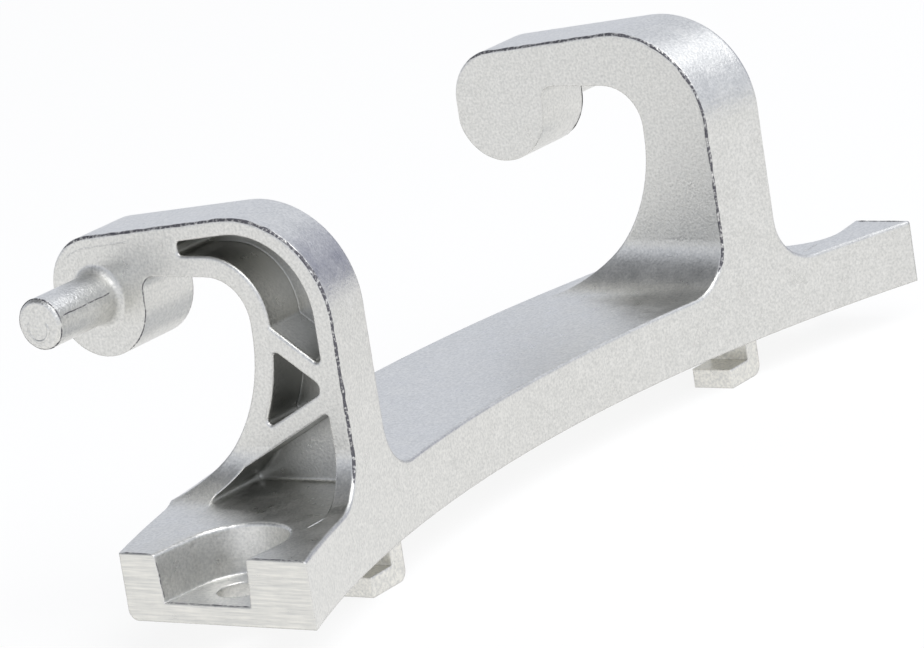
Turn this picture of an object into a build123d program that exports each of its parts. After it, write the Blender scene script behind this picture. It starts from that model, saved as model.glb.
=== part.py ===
"""Washing machine door hinge: one aluminium die casting, hinge pins included.

A curved plate follows the ring of a round door.  Two gooseneck arms rise flush from its concave
wall, bend back over it and end in noses that carry the hinge pins.  A screw holds the plate at
each end, and two hooks under it catch in slots of the sheet that it is fixed to.

Millimetres.  +X runs along the plate, +Y points to the concave wall and +Z up.  The origin lies
midway between the two screw holes, on the seating face under the plate.
"""

import os
from math import asin, cos, degrees, radians, sin, sqrt, tan

from build123d import *

# Plate: a sector of a ring, with square ends
length = 180.0  # end face to end face
plate_t = 10.5
plate_w = 32.0  # across the ring
wall_r = 245.0  # the concave wall
wall_y = 1.2  # concave wall at mid-length, seen from the line of the screws

# Arms: side outline, from the plate up and over to the nose
arm_gap = 100.0  # clear space between the two arms
arm_t = 12.5
root_r = 8.0  # fillets from the arm's sides to the plate
top_slope = 6.4  # degrees, the top falls towards the nose
back_r = 16.0  # bend from the top to the concave wall
throat_y = -5.8  # innermost point of the mouth
throat_r = 7.0  # bend from the roof of the mouth down to the throat
flare_r = 28.0  # sweep from the throat out onto the plate
flare_y = -23.7  # where the sweep runs out on the plate
flare_end_r = 10.0
roof_z = 44.9
nose_r = 8.65
nose_stretch = 1.7  # straight stretch between the nose's two arcs
nose_root_r = 2.5

# Hinge pins, cast on
pin_d = 8.0
pin_l = 15.0
pin_y = -33.8
pin_z = 41.6
pin_root_r = 1.2
pin_tip_c = 0.5

# Pockets in the arms' outer sides, which leave a web, a rim and two ribs
web_t = 4.5
rim_t = 3.3
rim_top_t = 2.7
rib_t = 3.0
rib_corner_r = 0.7
web_root_r = 0.5  # from the lower pocket's web to the plate
rib_node_r = 1.2  # the middle pocket's corner between the ribs
rib_node_z = 27.4  # where the ribs' centre lines meet
rib_node_inset = 0.7  # of that point, from the concave wall
upper_rib_slope = 35.6  # degrees, up towards the throat
lower_rib_slope = 28.2  # degrees, down towards the plate
tip_y = -17.4  # blunt end of the upper pocket, over the roof

# Screw seats: pockets that open through the end faces
screw_end = 7.5  # hole to end face
screw_hole_d = 7.5
seat_r = 8.4
seat_turn = 7.0  # degrees, its way out leans towards the outer rim
seat_floor_t = 3.0
seat_draft = 4.0  # degrees

# Hooks under the plate, both with the toe towards +X
hook_spacing = 106.4
hook_inset = 1.0  # from the concave wall
hook_w = 7.4
hook_leg_t = 3.2
hook_toe = 5.8
hook_gap = 3.0
hook_toe_t = 3.2
hook_heel_r = 1.8

# Broken edges and cutting room
edge_r = 0.5
rim_edge_r = 1.6  # under the plate's outer rim
spare = 2.0

half = length / 2
arm_in = arm_gap / 2
arm_out = arm_in + arm_t
screw_x = half - screw_end
ring_y = wall_y + wall_r
rim_r = wall_r + plate_w


def wall_at(x):
    """Y of the concave wall at a distance x from mid-length."""
    return ring_y - sqrt(wall_r**2 - x**2)


nose_low_z = pin_z - nose_stretch / 2
nose_high_z = pin_z + nose_stretch / 2
nose_front = pin_y - nose_r
nose_back = pin_y + nose_r
behind_y = wall_at(half) + spare
before_y = nose_front - spare
slope = radians(top_slope)
top_start = (pin_y - nose_r * sin(slope), nose_high_z + nose_r * cos(slope))


def top_at(y):
    """Z of the arm's sloping top."""
    return top_start[1] + (y - top_start[0]) * tan(slope)


over_z = top_at(behind_y) + spare
flare_z = plate_t + sqrt(flare_r**2 - (flare_r + flare_y - throat_y) ** 2)
under_nose_z = nose_low_z - nose_r
web_x = arm_in + web_t
node_y = wall_at(arm_out) - rib_node_inset
reach = 2 * (behind_y - before_y)


def core_top_at(y):
    """Z of the upper pocket's top, one rim under the arm's own top."""
    return top_at(y) - rim_top_t / cos(slope)


# The open mouth of the arms: the space from the nose round to the plate
with BuildSketch(Plane.YZ) as mouth:
    with BuildLine():
        under = CenterArc((pin_y, nose_low_z), nose_r, 180, 180)
        riser = Line(under @ 1, (nose_back, roof_z - nose_root_r))
        corner = CenterArc((nose_back + nose_root_r, roof_z - nose_root_r), nose_root_r, 90, 90)
        roof = Line(corner @ 0, (throat_y - throat_r, roof_z))
        bend = CenterArc((throat_y - throat_r, roof_z - throat_r), throat_r, 0, 90)
        throat = Line(bend @ 0, (throat_y, flare_z))
        flare_turn = degrees(asin((flare_z - plate_t) / flare_r))
        sweep_out = CenterArc((throat_y - flare_r, flare_z), flare_r, -flare_turn, flare_turn)
        Polyline(sweep_out @ 0, (before_y, plate_t), (before_y, nose_low_z), under @ 0)
    make_face()
    fillet(mouth.vertices().sort_by_distance(sweep_out @ 0)[0], flare_end_r)


def trim(slope_deg, shift, keep):
    """Cut a pocket's sketch off along a rib's side, shift away from its centre line."""
    turn = radians(slope_deg)
    with Locations((node_y - shift * sin(turn), rib_node_z + shift * cos(turn))):
        Rectangle(2 * reach, reach, rotation=slope_deg, align=(Align.CENTER, keep), mode=Mode.SUBTRACT)


def round_corners(radius):
    """Round every outer corner of the sketch: shrink it, then grow it again."""
    offset(amount=-radius, mode=Mode.REPLACE)
    offset(amount=radius, mode=Mode.REPLACE)


above, below = Align.MAX, Align.MIN

# The pocket between the ribs, which fan out from a node on the back rim
with BuildPart() as middle_core:
    with BuildSketch(Plane.YZ.offset(web_x)) as triangle:
        with Locations((node_y, rib_node_z)):
            Rectangle(node_y - throat_y + throat_r, reach, align=(Align.MAX, Align.CENTER))
        trim(-upper_rib_slope, -rib_t / 2, below)
        trim(lower_rib_slope, rib_t / 2, above)
        offset(mouth.sketch_local, amount=rim_t, mode=Mode.SUBTRACT)
        fillet(triangle.vertices().sort_by(Axis.X)[-1], rib_node_r)
        round_corners(rib_corner_r)
    extrude(amount=arm_out + spare - web_x)

# The crescent over the upper rib
with BuildPart() as upper_core:
    with BuildSketch(Plane.YZ.offset(web_x)):
        with BuildLine():
            Polyline(
                (tip_y, rib_node_z),
                (behind_y, rib_node_z),
                (behind_y, core_top_at(behind_y)),
                (tip_y, core_top_at(tip_y)),
                close=True,
            )
        make_face()
        trim(-upper_rib_slope, rib_t / 2, above)
        offset(mouth.sketch_local, amount=rim_t, mode=Mode.SUBTRACT)
        round_corners(rib_corner_r)
    extrude(amount=arm_out + spare - web_x)
    with BuildSketch():
        with Locations((0, ring_y)):
            Circle(wall_r + rim_t)
    extrude(amount=over_z, mode=Mode.SUBTRACT)
    fillet(upper_core.edges().sort_by(Axis.Z)[-1], back_r - rim_t)
    fillet(upper_core.edges().filter_by(GeomType.ELLIPSE).sort_by(Axis.Z)[0], rib_corner_r)

# The pocket under the lower rib, which runs out level with the plate
with BuildPart() as lower_core:
    with BuildSketch(Plane.YZ.offset(web_x)) as wedge:
        with Locations((behind_y, plate_t)):
            Rectangle(behind_y - flare_y, reach, align=(Align.MAX, Align.MIN))
        trim(lower_rib_slope, -rib_t / 2, below)
        offset(mouth.sketch_local, amount=rim_t, mode=Mode.SUBTRACT)
        fillet(wedge.vertices().sort_by(Axis.X)[0], rib_corner_r)
    extrude(amount=arm_out + root_r + spare - web_x)
    with BuildSketch():
        with Locations((0, ring_y)):
            Circle(wall_r + rim_t)
    extrude(amount=over_z, mode=Mode.SUBTRACT)
    fillet(lower_core.edges().filter_by(GeomType.ELLIPSE).sort_by(Axis.Z)[-1], rib_corner_r)
    fillet(lower_core.edges().filter_by(Axis.Y).group_by(Axis.X)[0].sort_by(Axis.Z)[0], web_root_r)

# The screw seat, open through the end face: sunk into a blank of the plate and rounded at its rim, it
# leaves a core, which also clears what stands over the seat
with BuildPart() as seat_blank:
    with BuildSketch():
        with Locations((screw_x, 0)):
            Rectangle(2 * (seat_r + screw_end), 2 * (seat_r + screw_end))
    extrude(amount=plate_t)
    seat_box = seat_blank.part
    with BuildSketch(Plane.XY.offset(plate_t)):
        with Locations((screw_x, 0)):
            Circle(seat_r)
            Rectangle(2 * (seat_r + screw_end), 2 * seat_r, -seat_turn, align=(Align.MIN, Align.CENTER))
    extrude(amount=seat_floor_t - plate_t, taper=seat_draft, mode=Mode.SUBTRACT)
    seat_rim = seat_blank.edges().filter_by(GeomType.CIRCLE).filter_by_position(Axis.Z, plate_t, plate_t)
    fillet(seat_rim, edge_r)

with BuildPart() as seat_core:
    add(seat_box)
    add(seat_blank.part, mode=Mode.SUBTRACT)
    extrude(seat_core.faces().sort_by(Axis.Z)[-1], amount=root_r)

with BuildPart() as casting:
    # Front elevation of one half: the plate with its arm on two root fillets
    with BuildSketch(Plane.XZ) as elevation:
        with BuildLine():
            Polyline(
                (0, 0),
                (half + spare, 0),
                (half + spare, plate_t),
                (arm_out, plate_t),
                (arm_out, over_z),
                (arm_in, over_z),
                (arm_in, plate_t),
                (0, plate_t),
                close=True,
            )
        make_face()
        at_plate = elevation.vertices().filter_by_position(Axis.Y, plate_t, plate_t)
        fillet(at_plate.filter_by_position(Axis.X, arm_in, arm_out), root_r)
    extrude(amount=behind_y - before_y, both=True)

    # Side outline of the arm, still without its mouth
    with BuildSketch(Plane.YZ):
        with BuildLine():
            front = CenterArc((pin_y, nose_high_z), nose_r, 90 + top_slope, 90 - top_slope)
            Polyline(front @ 1, (nose_front, 0), (behind_y, 0), (behind_y, top_at(behind_y)), front @ 0)
        make_face()
    extrude(amount=half + spare, mode=Mode.INTERSECT)

    # The concave wall, right up the arm, and the plate's outer edge
    with BuildSketch():
        with Locations((0, ring_y)):
            Circle(wall_r)
    extrude(amount=over_z, mode=Mode.SUBTRACT)
    with BuildSketch():
        with Locations((0, before_y)):
            Rectangle(length + 4 * spare, 2 * (behind_y - before_y))
        with Locations((0, ring_y)):
            Circle(rim_r, mode=Mode.SUBTRACT)
    extrude(amount=(plate_t + nose_low_z - nose_r) / 2, mode=Mode.SUBTRACT)

    fillet(casting.edges().sort_by(Axis.Z)[-1], back_r)
    # Broken edges: both outlines of the arm, with the plate's edge at the concave wall, and the edge
    # under its outer rim; only then is the end sawn off square
    for side in (0, -1):
        arm_top = casting.faces().filter_by(GeomType.PLANE).sort_by(Axis.Z)[-1]
        fillet(arm_top.edges().group_by(Axis.X)[side], edge_r)
    underside = casting.faces().sort_by(Axis.Z)[0].outer_wire()
    fillet(underside.edges().filter_by(GeomType.CIRCLE).sort_by(SortBy.RADIUS)[-1], rim_edge_r)
    split(bisect_by=Plane.YZ.offset(half), keep=Keep.BOTTOM)

    with BuildSketch(Plane.YZ):
        add(mouth.sketch_local)
    extrude(amount=half, mode=Mode.SUBTRACT)
    for core in (upper_core, middle_core, lower_core):
        add(core.part, mode=Mode.SUBTRACT)

    # Both closed pockets are rounded round their mouths
    upright = casting.faces().filter_by(Axis.X)
    arm_side = upright.filter_by_position(Axis.X, arm_out - edge_r, arm_out + edge_r).sort_by(SortBy.AREA)[-1]
    for pocket in arm_side.inner_wires():
        fillet(pocket.edges(), edge_r)

    # Hinge pin on the nose, turned about its own axis
    with BuildSketch(Plane((arm_out, pin_y, pin_z))):
        with BuildLine():
            root = CenterArc((pin_root_r, pin_d / 2 + pin_root_r), pin_root_r, 180, 90)
            Polyline(
                root @ 1,
                (pin_l - pin_tip_c, pin_d / 2),
                (pin_l, pin_d / 2 - pin_tip_c),
                (pin_l, 0),
                (0, 0),
                root @ 0,
            )
        make_face()
    revolve(axis=Axis((arm_out, pin_y, pin_z), (1, 0, 0)))

    # Screw seat with its hole
    add(seat_core.part, mode=Mode.SUBTRACT)
    with Locations((screw_x, 0, seat_floor_t)):
        Hole(screw_hole_d / 2)

    mirror(about=Plane.YZ)

    # Hooks, the same way round at both ends
    for hook_x in (-hook_spacing / 2, hook_spacing / 2):
        toe_z = -hook_gap - hook_toe_t
        with BuildSketch(Plane((hook_x, wall_at(hook_x) - hook_inset, 0), (1, 0, 0), (0, -1, 0))) as hook:
            with BuildLine():
                Polyline(
                    (-hook_leg_t, 0),
                    (0, 0),
                    (0, -hook_gap),
                    (hook_toe, -hook_gap),
                    (hook_toe, toe_z),
                    (-hook_leg_t, toe_z),
                    close=True,
                )
            make_face()
            fillet(hook.vertices().group_by(Axis.X)[0].sort_by(Axis.Y)[0], hook_heel_r)
        extrude(amount=hook_w)

casting.part.label = "hinge_casting"

os.makedirs("parts", exist_ok=True)
export_step(casting.part, "parts/hinge_casting.step")
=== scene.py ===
"""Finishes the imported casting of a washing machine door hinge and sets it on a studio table.

The casting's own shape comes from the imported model.  This file gives it the surface of lightly
blasted die cast aluminium and adds what trimming, sawing and the die left behind: the parting line
round both arms, the burrs of the sawn ends, the seams along the hinge pins and a few marks.
"""

import math

import bmesh
import bpy
from bpy.props import FloatProperty, FloatVectorProperty, PointerProperty
from mathutils import Matrix, Vector, noise


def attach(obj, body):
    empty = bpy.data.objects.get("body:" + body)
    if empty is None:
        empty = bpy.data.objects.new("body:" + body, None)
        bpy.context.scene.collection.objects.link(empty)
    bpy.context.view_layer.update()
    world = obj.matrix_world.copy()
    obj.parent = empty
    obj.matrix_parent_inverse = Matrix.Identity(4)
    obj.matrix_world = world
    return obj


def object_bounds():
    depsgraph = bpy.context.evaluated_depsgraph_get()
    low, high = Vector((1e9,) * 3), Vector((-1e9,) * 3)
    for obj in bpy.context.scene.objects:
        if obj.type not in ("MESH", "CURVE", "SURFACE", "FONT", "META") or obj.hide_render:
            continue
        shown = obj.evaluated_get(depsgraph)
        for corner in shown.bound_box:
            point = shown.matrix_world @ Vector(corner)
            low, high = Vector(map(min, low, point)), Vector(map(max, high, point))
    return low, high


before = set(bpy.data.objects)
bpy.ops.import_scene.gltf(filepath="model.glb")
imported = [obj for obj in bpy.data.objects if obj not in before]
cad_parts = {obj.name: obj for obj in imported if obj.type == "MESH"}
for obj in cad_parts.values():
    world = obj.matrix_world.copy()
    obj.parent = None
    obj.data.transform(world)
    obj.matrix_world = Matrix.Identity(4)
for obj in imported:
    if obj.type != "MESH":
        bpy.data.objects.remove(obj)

bl_info = {
    "name": "Door hinge casting",
    "version": (1, 0, 0),
    "blender": (4, 5, 0),
    "location": "3D View > Sidebar > Hinge",
    "description": "Finishes a die cast door hinge and sets up its studio table",
    "category": "Object",
}

MM = 0.001
CAD_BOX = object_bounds()
SIDES = {1: "right", -1: "left"}
UP = Vector((0, 0, 1))

# The casting's own values, in millimetres
HALF = 90.0
PLATE_T = 10.5
WALL_R = 245.0
RING_Y = 246.2
ARM_IN = 50.0
ARM_OUT = 62.5
ROOT_R = 8.0
TOP_SLOPE = math.radians(6.4)
BACK_R = 16.0
NOSE_R = 8.65
NOSE_STRETCH = 1.7
NOSE_ROOT_R = 2.5
ROOF_Z = 44.9
PIN_R = 4.0
PIN_L = 15.0
PIN_TIP = 0.5
PIN_Y = -33.8
PIN_Z = 41.6
EDGE_R = 0.5
SCREW_END = 7.5
SEAT_R = 8.4
SEAT_TURN = math.radians(7.0)
SEAT_FLOOR = 3.0
SEAT_DRAFT = math.radians(4.0)
RIM_R = 277.0

# Steps along the stretches of an arm's outline, and rounds in which the place of its bend settles
NOSE_STEPS = 16
TOP_STEPS = 50
BEND_STEPS = 32
BEND_ROUNDS = 4
BACK_STEPS = 30
ROOT_STEPS = 24

# Steps up the back of a nose, where its line starts, and on to the roof
NOSE_BACK_STEPS = 22
NOSE_BACK_START = math.radians(300)
GAP_STEPS = 3
CORNER_STEPS = 9

# Points of the nose without a line, and points of the root where the torn line ends and the faint starts
BARE_NOSE = 9
TORN_END = 12
FAINT_START = 8
LINE_GAP = 0.3
EDGE_STEP = 0.5

# Ridges: points across, depth in the metal and sideways wander in millimetres, points that an end takes
ACROSS = 7
SINK = 0.03
WANDER = 0.1
FADE = 4

# Noise along a ridge: how fast it runs per millimetre and where it is read, for swell, tears and wander
NOISES = ((0.5, 0.0), (0.23, 7.3), (0.6, 3.1))

# Where the noise of each ridge starts, right and left
SEEDS = {
    "parting_line": (5.7, -5.7),
    "flash_line": (18.0, 16.0),
    "nose_line": (24.0, 22.0),
    "pin_seams": (32.0, 30.0),
    "pin_tip_mark": (38.0, 36.0),
    "pin_burr": (62.0, 60.0),
    "foot_mark": (82.0, 80.0),
    "die_marks": (74.0, 72.0),
    "saw_burrs": (48.0, 46.0),
}

# Seams of the pins: angle, distance from the arm, how much shorter than the pin, steps
SEAM_TURN = 0.3
SEAM_START = 1.3
SEAM_SHORT = 2.0
SEAM_STEPS = 40

# Round mark on a pin's tip: middle, radius, start and length of its arc, steps
TIP_MARK_Y = -0.3
TIP_MARK_Z = -0.7
TIP_MARK_R = 1.9
TIP_MARK_START = 2.4
TIP_MARK_TURN = 4.6
TIP_MARK_STEPS = 44

# Burr round a pin's tip: steps and lean towards the tip
RIM_STEPS = 96
RIM_LEAN = 0.4

# Flow line on an arm: distance from its edge, start and stop in shares of the nose's arc, and the length
# along the top that stands for a share past the arc
FLOW_INSET = 1.5
FLOW_START = 0.5
FLOW_STOP = 1.6
FLOW_TOP = 16.0
FLOW_STEPS = 40
FLOW_DRIFT = 0.06
FLOW_NOISE = (9.0, 3.3)

# Short mark on a foot
FOOT_MARK_X = 70.7
FOOT_MARK_L = 5.4
FOOT_MARK_Y = 8.4
FOOT_MARK_STEPS = 20

# Saw burrs: distance inside the end face, step, gaps at the outer rim, beside the seat and the wall, and
# at the seat's lips, where the burr also starts lower
SAW_IN = 0.25
SAW_STEP = 0.25
RIM_GAP = 0.3
SEAT_GAP = 0.5
LIP_GAP = 0.05
LIP_DROP = 0.6

# The studio's table top, in metres, and the camera's sensor, in millimetres, and clipping
TABLE_R = 6.0
TABLE_SIDES = 96
TABLE_ROUGHNESS = 0.9
SENSOR = 36.0
CLIP_NEAR = 0.05
CLIP_FAR = 50.0

# Gaps in the studio's tent: direction, and the cosines at which they start and are full
HIGH_GAP = ((0.3, -0.55, 0.78), 0.62, 0.98)
LOW_GAP = ((-0.972, 0.2, 0.12), 0.86, 0.98)


def linear(hex_colour):
    """Linear colour of an sRGB hex value."""
    channels = [int(hex_colour[i : i + 2], 16) / 255 for i in (1, 3, 5)]
    return tuple(c / 12.92 if c <= 0.04045 else ((c + 0.055) / 1.055) ** 2.4 for c in channels) + (1.0,)


def add_node(tree, kind, settings=None, links=None):
    """Add a node, set its attributes (by name) or inputs (by name or number) and link its inputs."""
    node = tree.nodes.new(kind)
    for key, value in (settings or {}).items():
        if isinstance(key, str) and hasattr(node, key):
            setattr(node, key, value)
        else:
            node.inputs[key].default_value = value
    for key, source in (links or {}).items():
        tree.links.new(source, node.inputs[key])
    return node


class CastingFinish(bpy.types.PropertyGroup):
    """Surface of the die cast aluminium."""

    bright: FloatVectorProperty(
        name="Bright metal",
        description="Aluminium where blasting has cleaned it",
        subtype="COLOR",
        size=4,
        min=0,
        max=1,
        default=linear("#E9E8E4"),
    )
    dull: FloatVectorProperty(
        name="Dull metal",
        description="Aluminium in the slightly darker patches of the cast skin",
        subtype="COLOR",
        size=4,
        min=0,
        max=1,
        default=linear("#CECECB"),
    )
    # Painted shade: the colour that pockets and corners are darkened towards
    painted_cavity_shade: FloatVectorProperty(
        name="Cavities",
        description="Untouched cast skin, deep in the pockets and corners",
        subtype="COLOR",
        size=4,
        min=0,
        max=1,
        default=linear("#B2B2AE"),
    )
    # Fresh metal of the sawn ends; on the shaded hooks under the plate the same colour is painted light
    sawn_and_hook_light: FloatVectorProperty(
        name="Fresh metal",
        description="Sawn ends, and the hooks that the die's slides have wiped",
        subtype="COLOR",
        size=4,
        min=0,
        max=1,
        default=linear("#F0EEE7"),
    )
    burr: FloatVectorProperty(
        name="Burrs",
        description="Torn metal on the parting line and the sawn edges",
        subtype="COLOR",
        size=4,
        min=0,
        max=1,
        default=linear("#6E6D72"),
    )
    roughness: FloatProperty(
        name="Roughness",
        description="Of the blasted surface",
        subtype="FACTOR",
        min=0,
        max=1,
        default=0.32,
    )
    patch: FloatProperty(
        name="Patches", description="Size of the dull patches of the skin", unit="LENGTH", default=3 * MM
    )
    grain: FloatProperty(
        name="Grain", description="Size of the surface grain", unit="LENGTH", default=0.45 * MM
    )
    relief: FloatProperty(
        name="Relief", description="Height of the surface grain", unit="LENGTH", default=0.055 * MM
    )
    pin_relief: FloatProperty(
        name="Pin relief",
        description="Height of the grain on the pins",
        unit="LENGTH",
        default=0.11 * MM,
    )
    cavity_relief: FloatProperty(
        name="Cavity relief",
        description="Height of the grain in cavities",
        unit="LENGTH",
        default=0.02 * MM,
    )
    reach: FloatProperty(
        name="Cavity reach", description="How near walls make a cavity", unit="LENGTH", default=8 * MM
    )
    saw_lines: FloatProperty(
        name="Saw lines",
        description="Spacing of the lines on the sawn ends",
        unit="LENGTH",
        default=0.4 * MM,
    )
    saw_length: FloatProperty(
        name="Saw line length",
        description="Length of the lines on the sawn ends",
        unit="LENGTH",
        default=9 * MM,
    )
    fleck: FloatProperty(
        name="Flecks", description="Size of the flecks in torn metal", unit="LENGTH", default=0.5 * MM
    )
    fleck_relief: FloatProperty(
        name="Fleck relief",
        description="Height of the flecks in torn metal",
        unit="LENGTH",
        default=0.05 * MM,
    )


class TrimMarks(bpy.types.PropertyGroup):
    """What trimming and the die left on the casting."""

    line_width: FloatProperty(
        name="Parting line", description="Width of the parting line", unit="LENGTH", default=0.6 * MM
    )
    line_height: FloatProperty(
        name="Line height", description="Height of the parting line", unit="LENGTH", default=0.10 * MM
    )
    seam_width: FloatProperty(
        name="Seams",
        description="Width of the faint lines and the pins' seams",
        unit="LENGTH",
        default=0.22 * MM,
    )
    seam_height: FloatProperty(
        name="Seam height",
        description="Height of the seams along the pins",
        unit="LENGTH",
        default=0.07 * MM,
    )
    burr_width: FloatProperty(
        name="Burrs",
        description="Width of the burrs on sawn ends and pins",
        unit="LENGTH",
        default=0.28 * MM,
    )
    saw_burr: FloatProperty(
        name="Saw burr",
        description="Height of the burrs on the sawn ends",
        unit="LENGTH",
        default=0.12 * MM,
    )
    pin_burr: FloatProperty(
        name="Pin burr",
        description="Height of the burrs round the pins' tips",
        unit="LENGTH",
        default=0.06 * MM,
    )
    flow_width: FloatProperty(
        name="Flow line",
        description="Width of the flow line on the arms",
        unit="LENGTH",
        default=0.4 * MM,
    )
    flow_height: FloatProperty(
        name="Flow line height", description="Height of the flow line", unit="LENGTH", default=0.055 * MM
    )
    mark_width: FloatProperty(
        name="Die marks",
        description="Width of the marks on tips and feet",
        unit="LENGTH",
        default=0.6 * MM,
    )
    tip_height: FloatProperty(
        name="Tip mark height",
        description="Height of the marks on the pins' tips",
        unit="LENGTH",
        default=0.14 * MM,
    )
    foot_height: FloatProperty(
        name="Foot mark height",
        description="Height of the marks on the feet",
        unit="LENGTH",
        default=0.16 * MM,
    )


class StudioTable(bpy.types.PropertyGroup):
    """Floor, light and camera."""

    floor: FloatVectorProperty(
        name="Floor",
        description="Pale table top",
        subtype="COLOR",
        size=4,
        min=0,
        max=1,
        default=linear("#F8F8F8"),
    )
    white: FloatProperty(
        name="White",
        description="Share of plain white in the floor",
        subtype="FACTOR",
        min=0,
        max=1,
        default=0.85,
    )
    sky: FloatVectorProperty(
        name="Tent",
        description="Light cloth round the table",
        subtype="COLOR",
        size=4,
        min=0,
        max=1,
        default=linear("#E3E7F1"),
    )
    high_gap: FloatVectorProperty(
        name="High gap",
        description="Dark gap in the tent, high up on the pins' side",
        subtype="COLOR",
        size=4,
        min=0,
        max=1,
        default=linear("#7C7E82"),
    )
    low_gap: FloatVectorProperty(
        name="Low gap",
        description="Bluish gap in the tent, low beyond the left end",
        subtype="COLOR",
        size=4,
        min=0,
        max=1,
        default=linear("#A2A5B8"),
    )
    key_power: FloatProperty(
        name="Top light", description="Soft box over the part", unit="POWER", default=8.5
    )
    back_power: FloatProperty(
        name="Back light", description="Soft box behind the part", unit="POWER", default=0.65
    )
    target: FloatVectorProperty(
        name="Target",
        description="Point that the camera and the lamps face",
        subtype="TRANSLATION",
        unit="LENGTH",
        size=3,
        default=(2.4 * MM, -10.6 * MM, 19.6 * MM),
    )
    azimuth: FloatProperty(
        name="Azimuth",
        description="Camera, round the part",
        subtype="ANGLE",
        default=math.radians(125.7),
    )
    elevation: FloatProperty(
        name="Elevation",
        description="Camera, over the table",
        subtype="ANGLE",
        default=math.radians(14.2),
    )
    roll: FloatProperty(
        name="Roll",
        description="Camera, about its own axis",
        subtype="ANGLE",
        default=math.radians(-8.95),
    )
    distance: FloatProperty(name="Distance", description="Camera to part", unit="LENGTH", default=0.9097)
    lens: FloatProperty(name="Lens", description="Focal length", unit="CAMERA", default=223.2)


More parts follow.
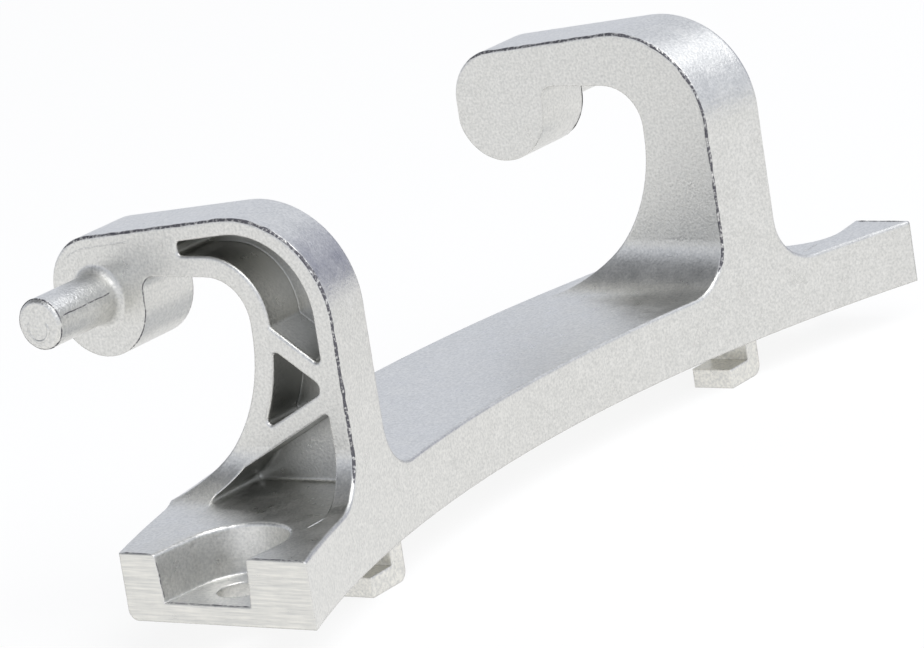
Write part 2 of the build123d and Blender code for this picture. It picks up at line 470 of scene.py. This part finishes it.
def cast_aluminium():
    """Die cast aluminium, lightly blasted: bright satin metal with a fine grain.

    Blasting leaves the open faces light and slightly mottled and brightens the edges.  The pockets and
    corners get painted shade, and the hooks under the plate a painted lighter colour, a painted reflection
    of the floor.  The ends are sawn and show fine lines.
    """
    finish = bpy.context.scene.hinge_finish
    material = bpy.data.materials.new("die_cast_aluminium_blasted")
    material.use_nodes = True
    tree = material.node_tree
    shader = tree.nodes["Principled BSDF"]
    shader.inputs["Metallic"].default_value = 1.0
    place = add_node(tree, "ShaderNodeTexCoord").outputs["Object"]
    facing = add_node(tree, "ShaderNodeNewGeometry").outputs["True Normal"]

    # Faint mottling in patches of 3 mm over the grain of the skin, too fine to show, drawn at 0.45 mm
    patches = add_node(
        tree,
        "ShaderNodeTexNoise",
        {"Scale": 1 / finish.patch, "Detail": 4.0, "Roughness": 0.65},
        {"Vector": place},
    ).outputs["Fac"]
    grain = add_node(
        tree,
        "ShaderNodeTexNoise",
        {"Scale": 1 / finish.grain, "Detail": 2.0, "Roughness": 0.6},
        {"Vector": place},
    ).outputs["Fac"]

    # Sawn ends: lines along Y, 9 mm long and 0.4 mm apart
    axes = add_node(tree, "ShaderNodeSeparateXYZ", links={0: place})
    along = add_node(tree, "ShaderNodeMath", {"operation": "ABSOLUTE"}, {0: axes.outputs[0]}).outputs[0]
    end = add_node(
        tree, "ShaderNodeMath", {"operation": "GREATER_THAN", 1: (HALF - 0.05) * MM}, {0: along}
    ).outputs[0]
    streaks = add_node(
        tree,
        "ShaderNodeMapping",
        {"Scale": (0.0, 1 / finish.saw_length, 1 / finish.saw_lines)},
        {"Vector": place},
    ).outputs[0]
    lines = add_node(
        tree, "ShaderNodeTexNoise", {"Scale": 1.0, "Detail": 3.0, "Roughness": 0.65}, {"Vector": streaks}
    ).outputs["Fac"]
    cut = add_node(
        tree, "ShaderNodeMix", {"data_type": "FLOAT"}, {0: end, 2: grain, 3: lines}
    ).outputs[0]
    skin = add_node(
        tree, "ShaderNodeMath", {"operation": "MULTIPLY_ADD", 1: 0.35}, {0: patches, 2: cut}
    ).outputs[0]
    skin = add_node(tree, "ShaderNodeMapRange", {1: 0.48, 2: 0.88}, {0: skin}).outputs[0]

    # Fresh metal on the sawn ends, and the same light colour painted on the hooks, which lie in shade
    # under the plate: a painted reflection of the floor
    painted_hook_light = add_node(
        tree, "ShaderNodeMath", {"operation": "LESS_THAN", 1: -0.05 * MM}, {0: axes.outputs[2]}
    ).outputs[0]
    sawn_end_and_lit_hook = add_node(tree, "ShaderNodeMath", {"operation": "MAXIMUM"}, {0: end, 1: painted_hook_light}).outputs[0]
    clean_and_lit_hook = add_node(
        tree, "ShaderNodeMix", {"data_type": "RGBA", 6: finish.bright, 7: finish.sawn_and_hook_light}, {0: sawn_end_and_lit_hook}
    ).outputs[2]
    metal = add_node(
        tree, "ShaderNodeMix", {"data_type": "RGBA", 6: finish.dull}, {0: skin, 7: clean_and_lit_hook}
    ).outputs[2]

    # Painted shade in the cavities, by how little of the open space a point sees within 8 mm, and sooner
    # outside the webs; none at the seats' floor and below, so the seat floors and the hooks keep their
    # colour
    open_sky = add_node(
        tree, "ShaderNodeAmbientOcclusion", {"samples": 8, "Distance": finish.reach}
    ).outputs["AO"]
    outside_webs = add_node(
        tree, "ShaderNodeMath", {"operation": "GREATER_THAN", 1: (ARM_IN + 4) * MM}, {0: along}
    ).outputs[0]
    limit = add_node(tree, "ShaderNodeMapRange", {3: 0.5, 4: 0.74}, {0: outside_webs}).outputs[0]
    painted_shade = add_node(
        tree, "ShaderNodeMapRange", {"interpolation_type": "SMOOTHSTEP", 2: 0.1}, {0: open_sky, 1: limit}
    ).outputs[0]
    raised = add_node(
        tree,
        "ShaderNodeMath",
        {"operation": "GREATER_THAN", 1: (SEAT_FLOOR + 0.3) * MM},
        {0: axes.outputs[2]},
    ).outputs[0]
    painted_shade = add_node(tree, "ShaderNodeMath", {"operation": "MULTIPLY"}, {0: painted_shade, 1: raised}).outputs[0]
    metal = add_node(
        tree, "ShaderNodeMix", {"data_type": "RGBA", 7: finish.painted_cavity_shade}, {0: painted_shade, 6: metal}
    ).outputs[2]

    # Edges: rounded, and burnished bright unless they lie inside a corner
    rounded = add_node(tree, "ShaderNodeBevel", {"samples": 6, "Radius": EDGE_R * MM}).outputs["Normal"]
    turn = add_node(
        tree, "ShaderNodeVectorMath", {"operation": "DOT_PRODUCT"}, {0: rounded, 1: facing}
    ).outputs["Value"]
    edge = add_node(tree, "ShaderNodeMapRange", {1: 0.98, 2: 0.75}, {0: turn}).outputs[0]
    bare = add_node(tree, "ShaderNodeMapRange", {1: 0.4, 2: 0.65}, {0: open_sky}).outputs[0]
    edge = add_node(tree, "ShaderNodeMath", {"operation": "MULTIPLY"}, {0: edge, 1: bare}).outputs[0]
    metal = add_node(
        tree, "ShaderNodeMix", {"data_type": "RGBA", 7: finish.bright}, {0: edge, 6: metal}
    ).outputs[2]

    # The grain stands out more on the pins, which nothing has rubbed smooth, and less in the cavities
    pin = add_node(
        tree, "ShaderNodeMath", {"operation": "GREATER_THAN", 1: (ARM_OUT + 0.1) * MM}, {0: along}
    ).outputs[0]
    high = add_node(
        tree,
        "ShaderNodeMath",
        {"operation": "GREATER_THAN", 1: (PIN_Z - 2 * PIN_R) * MM},
        {0: axes.outputs[2]},
    ).outputs[0]
    pin = add_node(tree, "ShaderNodeMath", {"operation": "MULTIPLY"}, {0: pin, 1: high}).outputs[0]
    height = add_node(
        tree, "ShaderNodeMapRange", {3: finish.relief, 4: finish.pin_relief}, {0: pin}
    ).outputs[0]
    height = add_node(
        tree, "ShaderNodeMix", {"data_type": "FLOAT", 3: finish.cavity_relief}, {0: painted_shade, 2: height}
    ).outputs[0]
    relief = add_node(
        tree, "ShaderNodeBump", {"Strength": 0.9}, {"Height": cut, "Normal": rounded, "Distance": height}
    ).outputs[0]

    # Roughness: uneven in the patches, lower on the edges, higher on the roots of the pins
    spread = add_node(
        tree, "ShaderNodeMapRange", {1: 0.3, 2: 0.7, 3: -0.06, 4: 0.08}, {0: patches}
    ).outputs[0]
    rough = add_node(
        tree, "ShaderNodeMath", {"operation": "ADD", 1: finish.roughness}, {0: spread}
    ).outputs[0]
    rough = add_node(
        tree, "ShaderNodeMath", {"operation": "MULTIPLY_ADD", 1: -0.1}, {0: edge, 2: rough}
    ).outputs[0]
    rooted = add_node(
        tree,
        "ShaderNodeMapRange",
        {1: (ARM_OUT + 1) * MM, 2: (ARM_OUT + 3) * MM, 3: 0.22, 4: 0.0},
        {0: along},
    ).outputs[0]
    rooted = add_node(tree, "ShaderNodeMath", {"operation": "MULTIPLY"}, {0: pin, 1: rooted}).outputs[0]
    rough = add_node(tree, "ShaderNodeMath", {"operation": "ADD"}, {0: rough, 1: rooted}).outputs[0]

    tree.links.new(metal, shader.inputs["Base Color"])
    tree.links.new(rough, shader.inputs["Roughness"])
    tree.links.new(relief, shader.inputs["Normal"])
    return material


def flecked_aluminium(name, dark, roughest, smoothest):
    """Aluminium in dark and bright flecks of 0.5 mm, the bright ones smoother."""
    if name in bpy.data.materials:
        return bpy.data.materials[name]
    finish = bpy.context.scene.hinge_finish
    material = bpy.data.materials.new(name)
    material.use_nodes = True
    tree = material.node_tree
    shader = tree.nodes["Principled BSDF"]
    shader.inputs["Metallic"].default_value = 1.0
    place = add_node(tree, "ShaderNodeTexCoord").outputs["Object"]
    flecks = add_node(
        tree, "ShaderNodeTexNoise", {"Scale": 1 / finish.fleck, "Detail": 4.0}, {"Vector": place}
    ).outputs["Fac"]
    bare = add_node(tree, "ShaderNodeMapRange", {1: 0.49, 2: 0.7}, {0: flecks}).outputs[0]
    metal = add_node(
        tree, "ShaderNodeMix", {"data_type": "RGBA", 6: dark, 7: finish.bright}, {0: bare}
    ).outputs[2]
    rough = add_node(
        tree, "ShaderNodeMapRange", {1: 0.3, 2: 0.7, 3: roughest, 4: smoothest}, {0: flecks}
    ).outputs[0]
    relief = add_node(
        tree, "ShaderNodeBump", {"Strength": 0.5, "Distance": finish.fleck_relief}, {"Height": flecks}
    ).outputs[0]
    tree.links.new(metal, shader.inputs["Base Color"])
    tree.links.new(rough, shader.inputs["Roughness"])
    tree.links.new(relief, shader.inputs["Normal"])
    return material


def torn_aluminium():
    """Torn aluminium of trimmed flash and saw burrs: rough and dark, with bright flecks."""
    finish = bpy.context.scene.hinge_finish
    return flecked_aluminium("aluminium_burr_torn", finish.burr, roughest=0.75, smoothest=0.45)


def seam_aluminium():
    """Cast aluminium of the die's seams and marks, blasted like the rest: light and satin."""
    finish = bpy.context.scene.hinge_finish
    return flecked_aluminium("die_cast_aluminium_seam", finish.dull, roughest=0.45, smoothest=0.3)


def shares(count):
    """Evenly spaced shares from 0 to 1."""
    return [step / count for step in range(count + 1)]


def spoke(turn):
    """Direction in the plane of an arm's side, at an angle from +Y towards +Z."""
    return Vector((0, math.cos(turn), math.sin(turn)))


def nose_turn(share):
    """Angle on the nose's arc, from its front to where the top starts."""
    return math.pi - (math.pi / 2 - TOP_SLOPE) * share


def wall_at(x):
    """Y of the concave wall at x, in millimetres."""
    return RING_Y - math.sqrt(WALL_R**2 - x**2)


def wall_normal(x):
    """Outward direction of the concave wall at x."""
    return Vector((-x, RING_Y - wall_at(x), 0)).normalized()


def broken(corner, first, second):
    """Middle of the rounded edge between two faces that meet at a corner, and its direction."""
    both = first + second
    centre = corner - both * (EDGE_R / (1 + first.dot(second)))
    direction = both.normalized()
    return centre + direction * EDGE_R, direction


def arm_outline(x, side):
    """Rounded outer edge of an arm's side face at x, in three stretches: nose, back and root."""
    face = Vector((side, 0, 0))
    nose = Vector((x, PIN_Y, PIN_Z + NOSE_STRETCH / 2))
    up = Vector((0, -math.sin(TOP_SLOPE), math.cos(TOP_SLOPE)))
    top = nose + up * NOSE_R

    # The bend at the back, where a ball of its radius rolls along the top and the concave wall
    bend = []
    for share in shares(BEND_STEPS):
        ball_x = x
        for _ in range(BEND_ROUNDS):
            ball_y = RING_Y - math.sqrt((WALL_R + BACK_R) ** 2 - ball_x**2)
            wall = Vector((-ball_x, RING_Y - ball_y, 0)).normalized()
            out = up.slerp(wall, share)
            ball_x = x - BACK_R * out.x
        rise = (ball_y - BACK_R * math.sin(TOP_SLOPE) - top.y) * math.tan(TOP_SLOPE)
        ball = Vector((ball_x, ball_y, top.z + rise - BACK_R * math.cos(TOP_SLOPE)))
        bend.append((ball + out * BACK_R, out))

    front = []
    for share in shares(NOSE_STEPS):
        out = spoke(nose_turn(share))
        front.append(broken(nose + out * NOSE_R, face, out))
    back = []
    for share in shares(TOP_STEPS)[1:-1]:
        back.append(broken(top.lerp(bend[0][0], share), face, up))
    for corner, out in bend:
        back.append(broken(corner, face, out))
    low = PLATE_T + ROOT_R
    start = bend[-1][0]
    for share in shares(BACK_STEPS)[1:-1]:
        corner = start.lerp(Vector((start.x, start.y, low)), share)
        back.append(broken(corner, face, wall_normal(x)))
    root = []
    for share in shares(ROOT_STEPS):
        turn = math.pi / 2 * share
        at = x + side * ROOT_R * (1 - math.cos(turn))
        corner = Vector((at, wall_at(at), low - ROOT_R * math.sin(turn)))
        root.append(broken(corner, Vector((side * math.cos(turn), 0, math.sin(turn))), wall_normal(at)))
    return front, back, root


def mouth_outline(x, side):
    """Edge of an arm's side face at x along its mouth: up the back of the nose to the roof."""
    face = Vector((side, 0, 0))
    nose = Vector((x, PIN_Y, PIN_Z - NOSE_STRETCH / 2))
    corner = Vector((x, PIN_Y + NOSE_R + NOSE_ROOT_R, ROOF_Z - NOSE_ROOT_R))
    points = []
    for share in shares(NOSE_BACK_STEPS):
        out = spoke(NOSE_BACK_START + (2 * math.pi - NOSE_BACK_START) * share)
        points.append((nose + out * NOSE_R, (out + face).normalized()))
    start, out = points[-1]
    stop = corner + spoke(math.pi) * NOSE_ROOT_R
    for share in shares(GAP_STEPS)[1:-1]:
        points.append((start.lerp(stop, share), out))
    for share in shares(CORNER_STEPS):
        inward = spoke(math.pi * (1 - share / 2))
        points.append((corner + inward * NOSE_ROOT_R, (face - inward).normalized()))
    return points


def plate_edge(start, stop):
    """Rounded top edge of the concave wall, from one x to another."""
    points = []
    for share in shares(int(abs(stop - start) / EDGE_STEP))[1:-1]:
        at = start + (stop - start) * share
        points.append(broken(Vector((at, wall_at(at), PLATE_T)), wall_normal(at), UP))
    return points


def ridge(kind, side, runs, width, height, metal):
    """Low, uneven ridges on the casting: runs of points on its surface with their outward directions."""
    name = kind + "_" + SIDES[side]
    right, left = SEEDS[kind]
    seed = right if side > 0 else left
    mesh = bmesh.new()
    for number, points in enumerate(runs):
        rings = []
        travel = 0.0
        last = len(points) - 1
        for index, (place, out) in enumerate(points):
            before = points[max(index - 1, 0)][0]
            after = points[min(index + 1, last)][0]
            travel += (place - before).length
            aside = (after - before).cross(out).normalized()
            swell, tear, drift = (
                noise.noise(Vector((travel * rate, seed + shift, number))) for rate, shift in NOISES
            )

            # Uneven in width and height by about half, narrower and lower towards both ends
            fade = min(1.0, index / FADE, (last - index) / FADE)
            wide = width / MM / 2 * (0.85 + 0.45 * swell) * (0.35 + 0.65 * fade)
            tall = height / MM * max(0.45, 0.85 + 0.4 * swell + 0.3 * tear) * fade
            ring = []
            for corner in range(ACROSS):
                turn = math.pi * corner / (ACROSS - 1)
                spot = place + aside * (wide * math.cos(turn) + WANDER * drift)
                spot = (spot + out * (tall * math.sin(turn) - SINK)) * MM
                inside = [min(max(c, low), high) for c, low, high in zip(spot, *CAD_BOX)]
                ring.append(mesh.verts.new(inside))
            rings.append(ring)
        for ring, following in zip(rings, rings[1:]):
            for corner in range(ACROSS):
                other = (corner + 1) % ACROSS
                mesh.faces.new((ring[corner], ring[other], following[other], following[corner]))
            for corner in (0, ACROSS - 1):
                mesh.edges.get((ring[corner], following[corner])).smooth = False
        mesh.faces.new(reversed(rings[0]))
        mesh.faces.new(rings[-1])
    bmesh.ops.recalc_face_normals(mesh, faces=mesh.faces)
    for face in mesh.faces:
        face.smooth = True
    data = bpy.data.meshes.new(name)
    mesh.to_mesh(data)
    mesh.free()
    data.materials.append(metal)
    piece = bpy.data.objects.new(name, data)
    bpy.context.scene.collection.objects.link(piece)
    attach(piece, "root")


class HINGE_OT_finish_casting(bpy.types.Operator):
    """Give the casting its blasted aluminium surface"""

    bl_idname = "hinge.finish_casting"
    bl_label = "Finish the casting"

    def execute(self, context):
        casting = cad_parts["hinge_casting"]
        casting.material_slots[0].material = cast_aluminium()
        return {"FINISHED"}


class HINGE_OT_parting_lines(bpy.types.Operator):
    """Lay the parting line: torn by trimming on one side of the arms, faint on the other and below"""

    bl_idname = "hinge.parting_lines"
    bl_label = "Lay the parting lines"

    def execute(self, context):
        marks = context.scene.hinge_marks
        for side in SIDES:
            torn = []
            faint = []
            for x, face, start, stop in (
                (side * ARM_OUT, side, side * (ARM_OUT + ROOT_R), side * (HALF - LINE_GAP)),
                (side * ARM_IN, -side, side * (ARM_IN - ROOT_R), 0),
            ):
                front, back, root = arm_outline(x, face)
                foot = root + plate_edge(start, stop)
                if face > 0:
                    torn.append(front[BARE_NOSE:] + back + root[:TORN_END])
                    faint.append(foot[FAINT_START:])
                else:
                    faint.append(front[BARE_NOSE:] + back + foot)
            nose = [mouth_outline(side * ARM_OUT, side)]
            low = marks.line_height / 2
            ridge("parting_line", side, torn, marks.line_width, marks.line_height, torn_aluminium())
            ridge("flash_line", side, faint, marks.seam_width, low, seam_aluminium())
            ridge("nose_line", side, nose, marks.seam_width, low, torn_aluminium())
        return {"FINISHED"}


class HINGE_OT_pin_seams(bpy.types.Operator):
    """Draw the die's seams along both hinge pins, the round mark on their tips and the burr round them"""

    bl_idname = "hinge.pin_seams"
    bl_label = "Seam the hinge pins"

    def execute(self, context):
        marks = context.scene.hinge_marks
        for side in SIDES:
            outward = Vector((side, 0, 0))
            pin = Vector((side * ARM_OUT, PIN_Y, PIN_Z))

            seams = []
            for turn in (SEAM_TURN, SEAM_TURN + math.pi):
                out = spoke(turn)
                seam = []
                for share in shares(SEAM_STEPS):
                    at = SEAM_START + (PIN_L - SEAM_SHORT) * share
                    seam.append((pin + outward * at + out * PIN_R, out))
                seams.append(seam)
            ridge("pin_seams", side, seams, marks.seam_width, marks.seam_height, torn_aluminium())

            middle = pin + outward * PIN_L + Vector((0, TIP_MARK_Y, TIP_MARK_Z))
            ring = []
            for share in shares(TIP_MARK_STEPS):
                out = spoke(TIP_MARK_START + TIP_MARK_TURN * share)
                ring.append((middle + out * TIP_MARK_R, outward))
            ridge("pin_tip_mark", side, [ring], marks.mark_width, marks.tip_height, seam_aluminium())

            rim = []
            for share in shares(RIM_STEPS):
                out = spoke(2 * math.pi * share)
                place = pin + outward * (PIN_L - PIN_TIP) + out * PIN_R
                rim.append((place, (out + outward * RIM_LEAN).normalized()))
            ridge("pin_burr", side, [rim], marks.burr_width, marks.pin_burr, torn_aluminium())
        return {"FINISHED"}


class HINGE_OT_die_marks(bpy.types.Operator):
    """Draw the marks that the die left on the arms' outer sides and on the feet"""

    bl_idname = "hinge.die_marks"
    bl_label = "Draw the die's marks"

    def execute(self, context):
        marks = context.scene.hinge_marks
        along_top = Vector((0, math.cos(TOP_SLOPE), math.sin(TOP_SLOPE)))
        for side in SIDES:
            foot = []
            for share in shares(FOOT_MARK_STEPS):
                at = FOOT_MARK_X + FOOT_MARK_L * share
                foot.append((Vector((side * at, FOOT_MARK_Y, PLATE_T)), UP))
            ridge("foot_mark", side, [foot], marks.mark_width, marks.foot_height, seam_aluminium())

            nose = Vector((side * ARM_OUT, PIN_Y, PIN_Z + NOSE_STRETCH / 2))
            rate, row = FLOW_NOISE
            inset = FLOW_INSET
            flow = []
            for step in shares(FLOW_STEPS):
                share = FLOW_START + (FLOW_STOP - FLOW_START) * step
                inset += FLOW_DRIFT * noise.noise(Vector((rate * share, row, side)))
                place = nose + spoke(nose_turn(min(share, 1.0))) * (NOSE_R - inset)
                place += along_top * FLOW_TOP * max(share - 1.0, 0.0)
                flow.append((place, Vector((side, 0, 0))))
            ridge("die_marks", side, [flow], marks.flow_width, marks.flow_height, seam_aluminium())
        return {"FINISHED"}


class HINGE_OT_saw_burrs(bpy.types.Operator):
    """Raise the burrs that the saw left on the edges of both ends"""

    bl_idname = "hinge.saw_burrs"
    bl_label = "Raise the saw burrs"

    def execute(self, context):
        marks = context.scene.hinge_marks

        # Y of the outer rim, and of the seat's two walls at the plate's top, with their draft to the floor
        rim = RING_Y - math.sqrt(RIM_R**2 - HALF**2)
        middle = -SCREW_END * math.tan(SEAT_TURN)
        low = middle - SEAT_R / math.cos(SEAT_TURN)
        high = middle + SEAT_R / math.cos(SEAT_TURN)
        draft = (PLATE_T - SEAT_FLOOR) * math.tan(SEAT_DRAFT) / math.cos(SEAT_TURN)
        lip = PLATE_T - LIP_DROP
        inward = Vector((0, 1, 0))
        outline = (
            ((rim + RIM_GAP, PLATE_T), (low - SEAT_GAP, PLATE_T), UP),
            ((low + LIP_GAP, lip), (low + draft, SEAT_FLOOR), inward),
            ((low + draft, SEAT_FLOOR), (high - draft, SEAT_FLOOR), UP),
            ((high - draft, SEAT_FLOOR), (high - LIP_GAP, lip), -inward),
            ((high + SEAT_GAP, PLATE_T), (wall_at(HALF) - SEAT_GAP, PLATE_T), UP),
        )
        for side in SIDES:
            runs = []
            for start, stop, out in outline:
                first = Vector((side * (HALF - SAW_IN), *start))
                last = Vector((side * (HALF - SAW_IN), *stop))
                count = int((last - first).length / SAW_STEP)
                runs.append([(first.lerp(last, share), out) for share in shares(count)])
            ridge("saw_burrs", side, runs, marks.burr_width, marks.saw_burr, torn_aluminium())
        return {"FINISHED"}


class HINGE_OT_stage(bpy.types.Operator):
    """Set up the floor, the lights and the camera"""

    bl_idname = "hinge.stage"
    bl_label = "Set up the table"

    def execute(self, context):
        table = context.scene.hinge_table
        target = Vector(table.target)

        # Floor: matt pale laminate, made white for the eye and for reflections, still taking the shadow
        data = bpy.data.meshes.new("table_top")
        mesh = bmesh.new()
        bmesh.ops.create_circle(mesh, cap_ends=True, segments=TABLE_SIDES, radius=TABLE_R)
        mesh.to_mesh(data)
        mesh.free()
        floor = bpy.data.objects.new("table_top", data)
        floor.location.z = CAD_BOX[0].z
        context.scene.collection.objects.link(floor)
        laminate = bpy.data.materials.new("laminate_matt_pale")
        laminate.use_nodes = True
        tree = laminate.node_tree
        shader = tree.nodes["Principled BSDF"]
        shader.inputs["Base Color"].default_value = table.floor
        shader.inputs["Roughness"].default_value = TABLE_ROUGHNESS
        shader.inputs["Specular IOR Level"].default_value = 0.0
        rays = add_node(tree, "ShaderNodeLightPath")
        seen = add_node(
            tree,
            "ShaderNodeMath",
            {"operation": "MAXIMUM"},
            {0: rays.outputs["Is Camera Ray"], 1: rays.outputs["Is Glossy Ray"]},
        ).outputs[0]
        seen = add_node(
            tree,
            "ShaderNodeMath",
            {"operation": "MAXIMUM"},
            {0: seen, 1: rays.outputs["Is Transmission Ray"]},
        ).outputs[0]
        share = add_node(
            tree, "ShaderNodeMath", {"operation": "MULTIPLY", 1: table.white}, {0: seen}
        ).outputs[0]
        white = add_node(
            tree, "ShaderNodeEmission", {"Color": (1.0, 1.0, 1.0, 1.0), "Strength": 1.0}
        ).outputs[0]
        blend = add_node(
            tree, "ShaderNodeMixShader", links={0: share, 1: shader.outputs[0], 2: white}
        ).outputs[0]
        tree.links.new(blend, tree.nodes["Material Output"].inputs["Surface"])
        data.materials.append(laminate)

        # Sky of the studio: a cool, light tent with a dark gap high up on the pins' side and a low, bluish
        # one beyond the left end
        world = bpy.data.worlds.new("studio")
        world.use_nodes = True
        context.scene.world = world
        tree = world.node_tree
        way = add_node(tree, "ShaderNodeTexCoord").outputs["Generated"]
        gaps = []
        for towards, start, full in (HIGH_GAP, LOW_GAP):
            facing = add_node(
                tree, "ShaderNodeVectorMath", {"operation": "DOT_PRODUCT", 1: towards}, {0: way}
            ).outputs["Value"]
            gap = add_node(
                tree,
                "ShaderNodeMapRange",
                {"interpolation_type": "SMOOTHSTEP", 1: start, 2: full},
                {0: facing},
            ).outputs[0]
            gaps.append(gap)
        sky = add_node(
            tree, "ShaderNodeMix", {"data_type": "RGBA", 6: table.sky, 7: table.high_gap}, {0: gaps[0]}
        ).outputs[2]
        sky = add_node(
            tree, "ShaderNodeMix", {"data_type": "RGBA", 7: table.low_gap}, {0: gaps[1], 6: sky}
        ).outputs[2]
        tree.links.new(sky, tree.nodes["Background"].inputs["Color"])

        # Lamps: place from the target and size in metres
        for name, place, size, power, colour in (
            ("top_soft_box", Vector((0.1, 0.55, 1.0)), 1.1, table.key_power, "#FFFEFB"),
            ("back_soft_box", Vector((-0.68, 0.44, 0.9)), 0.6, table.back_power, "#FBFCFF"),
        ):
            lamp = bpy.data.lights.new(name, "AREA")
            lamp.shape = "SQUARE"
            lamp.size = size
            lamp.energy = power
            lamp.color = linear(colour)[:3]
            box = bpy.data.objects.new(name, lamp)
            box.location = target + place
            box.rotation_euler = (-place).to_track_quat("-Z", "Y").to_euler()
            context.scene.collection.objects.link(box)

        back = Vector(
            (
                math.sin(table.azimuth) * math.cos(table.elevation),
                -math.cos(table.azimuth) * math.cos(table.elevation),
                math.sin(table.elevation),
            )
        )
        lens = bpy.data.cameras.new("camera")
        lens.lens = table.lens
        lens.sensor_width = SENSOR
        lens.sensor_fit = "HORIZONTAL"
        lens.clip_start = CLIP_NEAR
        lens.clip_end = CLIP_FAR
        camera = bpy.data.objects.new("camera", lens)
        aim = (-back).to_track_quat("-Z", "Y").to_matrix().to_4x4() @ Matrix.Rotation(table.roll, 4, "Z")
        camera.matrix_world = Matrix.Translation(target + back * table.distance) @ aim
        context.scene.collection.objects.link(camera)
        context.scene.camera = camera
        context.scene.view_settings.view_transform = "Standard"
        return {"FINISHED"}


class HINGE_PT_sidebar(bpy.types.Panel):
    """Sizes, colours and steps of the hinge"""

    bl_label = "Door hinge"
    bl_space_type = "VIEW_3D"
    bl_region_type = "UI"
    bl_category = "Hinge"

    def draw(self, context):
        for group, kind in GROUPS.items():
            box = self.layout.box()
            for name in kind.__annotations__:
                box.prop(getattr(context.scene, group), name)
        for step in STEPS:
            self.layout.operator(step.bl_idname)


GROUPS = {"hinge_finish": CastingFinish, "hinge_marks": TrimMarks, "hinge_table": StudioTable}
STEPS = (
    HINGE_OT_stage,
    HINGE_OT_finish_casting,
    HINGE_OT_parting_lines,
    HINGE_OT_pin_seams,
    HINGE_OT_die_marks,
    HINGE_OT_saw_burrs,
)


def register():
    for group in GROUPS.values():
        bpy.utils.register_class(group)
    for name, group in GROUPS.items():
        setattr(bpy.types.Scene, name, PointerProperty(type=group))
    for step in STEPS:
        bpy.utils.register_class(step)
    bpy.utils.register_class(HINGE_PT_sidebar)


def unregister():
    bpy.utils.unregister_class(HINGE_PT_sidebar)
    for step in reversed(STEPS):
        bpy.utils.unregister_class(step)
    for name, group in GROUPS.items():
        delattr(bpy.types.Scene, name)
        bpy.utils.unregister_class(group)


def main():
    register()
    bpy.ops.hinge.stage()
    bpy.ops.hinge.finish_casting()
    bpy.ops.hinge.parting_lines()
    bpy.ops.hinge.pin_seams()
    bpy.ops.hinge.die_marks()
    bpy.ops.hinge.saw_burrs()


if __name__ == "__main__":
    main()
